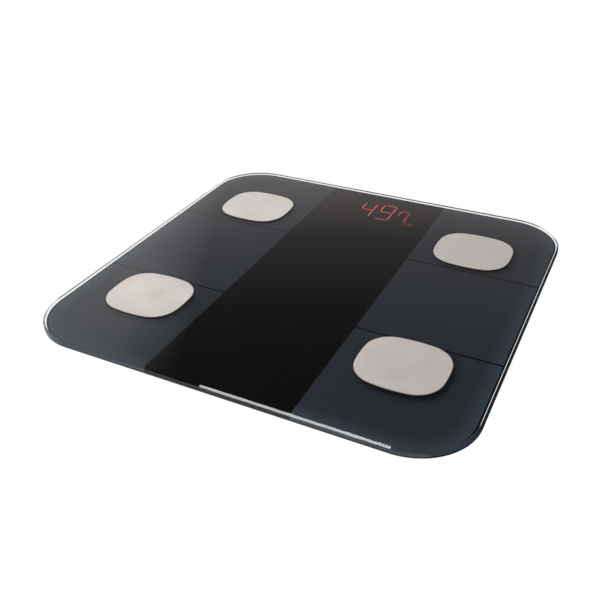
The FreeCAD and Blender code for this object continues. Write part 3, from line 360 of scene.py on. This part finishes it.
def paper():
    """A blank label with a thin grey frame."""
    shader = Shader("blank_label")
    fibre = shader.noise(900.0, 6.0, 0.7)
    sheet = shader.mix(fibre, (0.66, 0.66, 0.65, 1.0), (0.74, 0.74, 0.73, 1.0))
    label_low, label_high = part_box("rating_label")
    middle, half = (label_low + label_high) / 2, (label_high - label_low) / 2
    x, y, _ = shader.axes()
    to_side = shader.math("SUBTRACT", half.x, shader.math("ABSOLUTE", shader.math("SUBTRACT", x, middle.x)))
    to_end = shader.math("SUBTRACT", half.y, shader.math("ABSOLUTE", shader.math("SUBTRACT", y, middle.y)))
    margin = shader.math("MINIMUM", to_side, to_end)
    inner, outer = LABEL_FRAME
    frame_line = shader.math(
        "MULTIPLY", shader.math("GREATER_THAN", margin, inner), shader.math("LESS_THAN", margin, outer)
    )
    colour = shader.mix(frame_line, sheet, (0.12, 0.12, 0.125, 1.0))
    return shader.principled(colour=colour, roughness=0.45, normal=shader.bump(fibre, 0.00001, 0.4))


def cell_jacket():
    """The glossy sleeve of a cell, scuffed by handling."""
    shader = Shader("cell_jacket")
    scuffs = shader.noise(160.0, 6.0, 0.7)
    colour = shader.mix(scuffs, (0.020, 0.022, 0.028, 1.0), (0.035, 0.037, 0.045, 1.0))
    return shader.principled(colour=colour, roughness=0.28, coat=0.4, coat_roughness=0.15)


def make_materials():
    return {
        "clear_glass": clear_glass(),
        "screen_print": screen_print(),
        "brushed_steel": brushed_steel(),
        "black_adhesive": rubber("black_adhesive", (0.006, 0.006, 0.006)),
        "zinc_steel": plated_steel("zinc_steel", (0.62, 0.63, 0.66), 0.30),
        "tinned_copper": plated_steel("tinned_copper", (0.70, 0.66, 0.58), 0.35),
        "black_abs": moulded("black_abs", (0.018, 0.0185, 0.020), 0.46),
        "grey_abs": moulded("grey_abs", (0.045, 0.046, 0.049), 0.50),
        "foot_rubber": rubber("foot_rubber", (0.020, 0.020, 0.021)),
        "cell_steel": plated_steel("cell_steel", (0.55, 0.56, 0.58), 0.34),
        "white_silicone": moulded("white_silicone", (0.80, 0.79, 0.76), 0.5),
        "cell_lead": moulded("cell_lead", (0.45, 0.025, 0.02), 0.42),
        "electrode_lead": moulded("electrode_lead", (0.78, 0.78, 0.75), 0.42),
        "battery_lead": moulded("battery_lead", (0.50, 0.03, 0.025), 0.42),
        "board_green": circuit_board(),
        "chip_black": moulded("chip_black", (0.015, 0.015, 0.016), 0.40),
        "shield_metal": plated_steel("shield_metal", (0.70, 0.70, 0.70), 0.25),
        "white_nylon": moulded("white_nylon", (0.80, 0.80, 0.77), 0.40),
        "red_epoxy": dull_red(),
        "diffuser_sheet": moulded("diffuser_sheet", (0.72, 0.72, 0.72), 0.55),
        "ribbon_film": moulded("ribbon_film", (0.74, 0.72, 0.62), 0.35),
        "cell_jacket": cell_jacket(),
        "nickel": plated_steel("nickel", (0.80, 0.79, 0.76), 0.22),
        "blank_label": paper(),
    }


def dress_nodes(materials):
    """Give each CAD node the material of its slot."""
    for entry in frame["record"]["subparts"]:
        node = frame["nodes"][entry["node"]]
        node.data.materials.clear()
        node.data.materials.append(materials[entry["material_slot"]])


# ---------------------------------------------------------------- mesh helpers

SHARP_ANGLE = math.radians(25)


def new_piece(name, mesh_builder, material, body="platform"):
    """A piece whose faces are shaded smooth except across sharp edges."""
    mesh = bpy.data.meshes.new(name)
    built = bmesh.new()
    mesh_builder(built)
    bmesh.ops.recalc_face_normals(built, faces=built.faces)
    for face in built.faces:
        face.smooth = True
    for edge in built.edges:
        edge.smooth = edge.calc_face_angle(math.pi) < SHARP_ANGLE
    built.to_mesh(mesh)
    built.free()
    piece = bpy.data.objects.new(name, mesh)
    bpy.context.scene.collection.objects.link(piece)
    mesh.materials.append(material)
    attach(piece, body)
    return piece


NEAR_TANGENT = 0.5 * MM


def round_outline(half_x, half_y, corner, steps):
    """Points of a rounded rectangle, anticlockwise, with one on each straight run close to its end.

    A straight run shorter than NEAR_TANGENT makes the outline fold back on itself.
    """
    points = []
    centres = [(1, 1), (-1, 1), (-1, -1), (1, -1)]
    for index, (side, end) in enumerate(centres):
        centre = Vector((side * (half_x - corner), end * (half_y - corner), 0))
        start = math.pi / 2 * index
        arc = []
        for step in range(steps + 1):
            turn = start + math.pi / 2 * step / steps
            arc.append(centre + corner * Vector((math.cos(turn), math.sin(turn), 0)))
        along = Vector((math.cos(start), math.sin(start), 0)) * NEAR_TANGENT
        across = Vector((-along.y, along.x, 0))
        points += [arc[0] - across] + arc + [arc[-1] - along]
    return points


def ring_of(built, points, height):
    return [built.verts.new((point.x, point.y, height)) for point in points]


def skin(built, first, second):
    """Faces between two rings of as many points."""
    for index in range(len(first)):
        after = (index + 1) % len(first)
        built.faces.new((first[index], first[after], second[after], second[index]))


def prism(built, outline, low, high):
    """A closed prism over a flat outline."""
    bottom = ring_of(built, outline, low)
    top = ring_of(built, outline, high)
    built.faces.new(bottom)
    built.faces.new(top)
    skin(built, bottom, top)


def circle(centre, radius, first, second, steps):
    """Points of a circle in the plane of two directions."""
    turns = [2 * math.pi * step / steps for step in range(steps)]
    return [centre + radius * (first * math.cos(turn) + second * math.sin(turn)) for turn in turns]


LATHE_STEPS = 64


def lathe(built, base, axis, profile, steps=LATHE_STEPS):
    """A closed turned solid; the profile gives distance along the axis and radius, in millimetres."""
    first = axis.orthogonal().normalized()
    second = axis.cross(first)
    rings = []
    for along, radius in profile:
        points = circle(base + axis * along * MM, radius * MM, first, second, steps)
        rings.append([built.verts.new(point) for point in points])
    for lower, upper in zip(rings, rings[1:]):
        skin(built, lower, upper)
    built.faces.new(rings[0])
    built.faces.new(rings[-1])


# ---------------------------------------------------------------- glass

GLASS_CORNER = 40 * MM
GLASS_BEVEL = 1.1 * MM
GLASS_ARRIS = 0.5 * MM
STUD_PLACE = Vector((93 * MM, 77 * MM, 0))
STUD_HOLE_RADIUS = 2.6 * MM
CORNER_STEPS = 32
PRINT_CORNER_STEPS = 24


def ring_edges(built, ring):
    return [built.edges.get((first, second)) for first, second in zip(ring, ring[1:] + ring[:1])]


def glass_slab(built):
    """The slab with its ground edges, polished bevel and four stud holes."""
    levels = (
        (glass_low.z, GLASS_ARRIS),
        (glass_low.z + GLASS_ARRIS, 0.0),
        (glass_high.z - GLASS_BEVEL, 0.0),
        (glass_high.z, GLASS_BEVEL),
    )
    rims = []
    for height, inset in levels:
        half_x, half_y = glass_high.x - inset, glass_high.y - inset
        points = round_outline(half_x, half_y, GLASS_CORNER - inset, CORNER_STEPS)
        rims.append(ring_of(built, points, height))
    for lower, upper in zip(rims, rims[1:]):
        skin(built, lower, upper)
    holes = []
    across, ahead = Vector((1, 0, 0)), Vector((0, 1, 0))
    for side, end in CORNERS.values():
        centre = Vector((side * STUD_PLACE.x, end * STUD_PLACE.y, 0))
        points = circle(centre, STUD_HOLE_RADIUS, across, ahead, CORNER_STEPS)
        lower, upper = (ring_of(built, points, height) for height in (glass_low.z, glass_high.z))
        skin(built, lower, upper)
        holes.append((lower, upper))
    for level, rim in ((0, rims[0]), (1, rims[-1])):
        edges = ring_edges(built, rim)
        for hole in holes:
            edges += ring_edges(built, hole[level])
        bmesh.ops.triangle_fill(built, edges=edges, use_beauty=True)


def make_glass(materials):
    piece = new_piece("tempered_glass", glass_slab, materials["clear_glass"])
    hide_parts("glass_platform")


# ---------------------------------------------------------------- print and digits

CONTACT = 0.02 * MM
GLOW_THICKNESS = 0.02 * MM


def make_print(materials):
    """The print touches the glass, so it reaches a hair's breadth into the glass's lower face."""
    outline = round_outline(film_high.x, film_high.y, FILM_CORNER, PRINT_CORNER_STEPS)
    piece = new_piece(
        "screen_print",
        lambda built: prism(built, outline, film_low.z, glass_low.z + CONTACT),
        materials["screen_print"],
    )
    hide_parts("print_film")


# digits as left, right, bottom and top edges from the middle of the display, in millimetres
LARGE_DIGITS = (
    ("4", -24.4, -13.6, -12.2, 12.5),
    ("9", -8.4, 3.4, -12.6, 14.6),
)
SMALL_DIGITS = (("7", 8.4, 16.9, -11.1, 8.8),)
SEGMENTS_LIT = {"4": "bcfg", "9": "abcdfg", "7": "abcf"}
# the unit's letters as strokes on a grid one letter high, each a chain of points
UNIT_STROKES = (
    ((0.0, 1.0), (0.0, 0.0)),
    ((0.45, 0.7), (0.05, 0.32), (0.5, 0.0)),
    ((1.35, 0.65), (0.9, 0.65), (0.85, 0.15), (1.35, 0.15)),
    ((1.35, 0.7), (1.35, -0.2), (0.9, -0.25)),
)
UNIT_PLACE = Vector((18.0 * MM, -13.6 * MM, 0))
UNIT_HEIGHT = 4.3 * MM
POINT_PLACE = Vector((6.0 * MM, -12.8 * MM, 0))
STROKE = 1.0 * MM
STROKE_GAP = 0.6 * MM
HALO = 2.4
UNIT_STROKE = 0.6


def bar(built, start, end, width, low):
    """A lit bar with pointed ends."""
    along = (end - start).normalized()
    across = Vector((-along.y, along.x, 0)) * width / 2
    point = along * width / 2
    outline = [
        start,
        start + point - across,
        end - point - across,
        end,
        end - point + across,
        start + point + across,
    ]
    prism(built, outline, low, low + GLOW_THICKNESS)


def digit_bars(left, right, bottom, top):
    """The seven bars' end points, by the usual letters."""
    middle = (bottom + top) / 2
    return {
        "a": ((left, top), (right, top)),
        "b": ((right, middle), (right, top)),
        "c": ((right, bottom), (right, middle)),
        "d": ((left, bottom), (right, bottom)),
        "e": ((left, bottom), (left, middle)),
        "f": ((left, middle), (left, top)),
        "g": ((left, middle), (right, middle)),
    }


def lit_strokes(digits):
    """Start and end of every lit bar."""
    inset = Vector((STROKE, STROKE, 0)) / 2
    for character, left, right, bottom, top in digits:
        low_corner = display_centre + Vector((left, bottom, 0)) * MM + inset
        high_corner = display_centre + Vector((right, top, 0)) * MM - inset
        bars = digit_bars(low_corner.x, high_corner.x, low_corner.y, high_corner.y)
        for letter in SEGMENTS_LIT[character]:
            (x0, y0), (x1, y1) = bars[letter]
            start, end = Vector((x0, y0, 0)), Vector((x1, y1, 0))
            gap = (end - start).normalized() * STROKE_GAP
            yield start + gap, end - gap


def unit_strokes():
    for chain in UNIT_STROKES:
        points = [display_centre + UNIT_PLACE + UNIT_HEIGHT * Vector((u, v, 0)) for u, v in chain]
        yield from zip(points, points[1:])
    reach = Vector((STROKE, 0, 0)) / 2
    yield display_centre + POINT_PLACE - reach, display_centre + POINT_PLACE + reach


def make_digits():
    """Bright cores over wider dim halos, just proud of the print and inside the glass."""
    surface = glass_low.z + CONTACT
    large = list(lit_strokes(LARGE_DIGITS))
    small = list(lit_strokes(SMALL_DIGITS))
    unit = list(unit_strokes())
    groups = (
        ("digit_halo", large + small, HALO * STROKE, (0.035, 0.0012, 0.0012)),
        ("lit_large_digits", large, STROKE, (0.66, 0.085, 0.09)),
        ("lit_small_digit", small, STROKE, (0.42, 0.06, 0.06)),
        ("lit_unit", unit, UNIT_STROKE * STROKE, (0.24, 0.022, 0.022)),
    )
    for layer, (name, strokes, width, colour) in enumerate(groups):
        low = surface - GLOW_THICKNESS / 2 + layer * GLOW_THICKNESS / 4

        def build(built):
            for start, end in strokes:
                bar(built, start, end, width, low)

        new_piece(name, build, glowing(name, colour))


# ---------------------------------------------------------------- feet, door and cells

# height above the ground and radius: the dish, its lip, a tread of two grooves, a soft outer edge
TREAD_PROFILE = (
    (0.8, 8.7), (0.75, 9.0), (0.2, 9.0), (0.0, 9.2), (0.0, 10.5), (0.35, 10.8), (0.45, 11.3), (0.35, 11.8),
    (0.0, 12.1), (0.0, 13.2), (0.35, 13.5), (0.45, 14.0), (0.35, 14.5), (0.0, 14.8), (0.0, 15.5),
    (0.12, 15.85), (0.45, 16.0), (1.8, 16.0),
)
UP = Vector((0, 0, 1))


def make_treads(materials):
    for name in CORNERS:
        low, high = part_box(f"foot_rubber_{name}")
        middle = (low + high) / 2
        piece = new_piece(
            f"foot_tread_{name}",
            lambda built: lathe(built, Vector((middle.x, middle.y, low.z)), UP, TREAD_PROFILE),
            materials["foot_rubber"],
            f"foot_{name}",
        )
        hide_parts(f"foot_rubber_{name}")


GRIP_RIBS = 5
GRIP_PITCH = 1.7 * MM
GRIP_HALF_LENGTH = 7 * MM
GRIP_HALF_WIDTH = 0.45 * MM
GRIP_HEIGHT = 0.35 * MM
GRIP_MARGIN = 3.5 * MM
GRIP_END_STEPS = 6


def make_door_grip(materials):
    """Ribs for a fingertip next to the latch.

    Two known faults: the ribs have no straight run at their ends, so each end carries a flat fin,
    and the door itself is black_abs, not grey_abs.
    """
    low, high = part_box("battery_door")
    outline = round_outline(GRIP_HALF_LENGTH, GRIP_HALF_WIDTH, GRIP_HALF_WIDTH, GRIP_END_STEPS)
    door_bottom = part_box("base_shell")[0].z

    def build(built):
        for step in range(GRIP_RIBS):
            centre = Vector(((low.x + high.x) / 2, high.y - GRIP_MARGIN - step * GRIP_PITCH, 0))
            rib = [centre + point for point in outline]
            prism(built, rib, door_bottom - GRIP_HEIGHT, door_bottom + CONTACT)

    new_piece("door_grip", build, materials["grey_abs"], "door")


CELL_PITCH = 11 * MM
SLEEVE_PROFILE = (
    (1.35, 4.4), (1.1, 4.7), (1.15, 5.0), (1.5, 5.25), (43.9, 5.25), (44.25, 5.0), (44.3, 4.7), (44.1, 4.4),
)
POSITIVE_PROFILE = ((0.0, 1.6), (0.12, 1.85), (0.9, 1.9), (1.05, 2.2), (1.15, 4.6), (1.6, 4.6))
NEGATIVE_PROFILE = ((43.9, 4.6), (44.4, 4.5), (44.5, 4.2), (44.5, 3.4), (44.35, 3.1), (44.35, 0.5))


def make_cells(materials):
    """Sleeves and metal ends; the middle cell lies the other way round."""
    low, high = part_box("battery_cells")
    centre = (low + high) / 2

    def build_parts(*profiles):
        def build(built):
            for step in (-1, 0, 1):
                way = 1 if step else -1
                tip = Vector((low.x if way > 0 else high.x, centre.y + step * CELL_PITCH, centre.z))
                for profile in profiles:
                    lathe(built, tip, Vector((way, 0, 0)), profile)
        return build

    sleeves = new_piece("cell_sleeves", build_parts(SLEEVE_PROFILE), materials["cell_jacket"])
    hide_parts("battery_cells")
    new_piece("cell_ends", build_parts(POSITIVE_PROFILE, NEGATIVE_PROFILE), materials["nickel"])


# ---------------------------------------------------------------- floor and light

FLOOR_REACH = 6.0
MIRRORED_FLOOR = 0.7
FLAGGED_FLOOR = 0.05
SKY_STRENGTH = 2.0
# height of a direction above the horizon as its sine, and radiance: a dark belt between
# the white backdrop and the bright ceiling
SKY = (
    (0.0, 0.9), (0.36, 0.80), (0.42, 0.56), (0.47, 0.24),
    (0.55, 0.085), (0.62, 0.05), (0.78, 0.05), (0.88, 1.8),
)
SKY_TINT = (1.08, 1.0, 0.97)
SIDE_GLOW = 0.65
# components of a direction between which the glow and the flag fade
GLOW_ACROSS = (-0.57, -0.50)
GLOW_HEIGHT = (0.55, 0.65)
FLAG_LEVEL = 0.04
FLAG_ACROSS = (0.28, 0.36)
# how far inside the right edge the floor's reflection starts to darken
FLOOR_FLAG_FADE = 6 * MM


def pale_floor():
    """White and lit through, invisible from below, dim where polished faces mirror it past its flag."""
    shader = Shader("pale_floor")
    x, _, _ = shader.axes()
    rays = shader.node("ShaderNodeLightPath").outputs
    mirrored = shader.math("MULTIPLY", rays["Is Reflection Ray"], rays["Is Glossy Ray"])
    edge = glass_high.x
    mirrored_level = shader.ramp(x, MIRRORED_FLOOR, FLAGGED_FLOOR, edge - FLOOR_FLAG_FADE, edge)
    level = shader.node("ShaderNodeMix", {"data_type": "FLOAT"}, Factor=mirrored)
    shader.put(level.inputs[2], 1.0)
    shader.put(level.inputs[3], mirrored_level)
    light = shader.node("ShaderNodeEmission", Strength=level.outputs[0])
    clear = shader.node("ShaderNodeBsdfTransparent")
    below = shader.node("ShaderNodeNewGeometry").outputs["Backfacing"]
    both = shader.node("ShaderNodeMixShader", Fac=below)
    shader.put(both.inputs[1], light.outputs[0])
    shader.put(both.inputs[2], clear.outputs[0])
    return shader.finish(both.outputs[0])


def make_floor():
    mesh = bpy.data.meshes.new("floor")
    corners = [(x * FLOOR_REACH, y * FLOOR_REACH, 0) for x, y in ((-1, -1), (1, -1), (1, 1), (-1, 1))]
    mesh.from_pydata(corners, [], [(0, 1, 2, 3)])
    floor = bpy.data.objects.new("floor", mesh)
    bpy.context.scene.collection.objects.link(floor)
    mesh.materials.append(pale_floor())


def make_sky():
    """White near the horizon, a dark belt above it, a bright ceiling, a soft glow on the left and a
    black flag on the right; the camera itself sees plain white."""
    shader = Shader("studio", world=True)
    x, _, z = shader.axes()
    sky = shader.node("ShaderNodeValToRGB", Fac=z)
    stops = sky.color_ramp.elements
    stops[0].position, stops[1].position = SKY[0][0], SKY[-1][0]
    for position, _ in SKY[1:-1]:
        stops.new(position)
    for stop, (_, level) in zip(stops, SKY):
        stop.color = opaque(SKY_TINT, level / SKY_STRENGTH)
    to_left = shader.ramp(x, SIDE_GLOW / SKY_STRENGTH, 0.0, *GLOW_ACROSS)
    glow = shader.math("MULTIPLY", to_left, shader.ramp(z, 1.0, 0.0, *GLOW_HEIGHT))
    total = shader.node("ShaderNodeVectorMath", {"operation": "ADD"})
    shader.put(total.inputs[0], sky.outputs["Color"])
    shader.put(total.inputs[1], glow)
    unflagged = shader.ramp(x, 1.0, FLAG_LEVEL, *FLAG_ACROSS)
    flagged = shader.node("ShaderNodeVectorMath", {"operation": "SCALE"}, Scale=unflagged)
    shader.put(flagged.inputs[0], total.outputs[0])
    seen = shader.node("ShaderNodeLightPath").outputs["Is Camera Ray"]
    colour = shader.mix(seen, flagged.outputs[0], grey(1.0 / SKY_STRENGTH))
    background = shader.node("ShaderNodeBackground", Color=colour, Strength=SKY_STRENGTH)
    bpy.context.scene.world = shader.finish(background.outputs[0])


# name, place in metres, width, height, radiance, shape
LIGHTS = (
    ("key_light", (-0.46, 0.32, 0.76), 0.40, 0.40, 22.0, "ELLIPSE"),
    ("edge_light", (-0.27, -0.80, 0.67), 0.40, 0.25, 12.0, "RECTANGLE"),
)


def add_light(name, place, width, height, radiance, shape):
    """An area light that looks at the middle of the glass; its power follows from its radiance."""
    data = bpy.data.lights.new(name, "AREA")
    data.shape = shape
    data.size = width
    data.size_y = height
    area = width * height * (math.pi / 4 if shape == "ELLIPSE" else 1.0)
    data.energy = radiance * math.pi * area
    light = bpy.data.objects.new(name, data)
    bpy.context.scene.collection.objects.link(light)
    light.location = place
    light.rotation_euler = (-Vector(place)).to_track_quat("-Z", "Y").to_euler()
    light.visible_camera = False


def make_light():
    make_sky()
    for light in LIGHTS:
        add_light(*light)


# ---------------------------------------------------------------- the scene

bpy.context.scene.view_settings.view_transform = "Standard"
make_camera()
make_floor()
make_light()
materials = make_materials()
dress_nodes(materials)
make_glass(materials)
make_print(materials)
make_digits()
make_treads(materials)
make_door_grip(materials)
make_cells(materials)
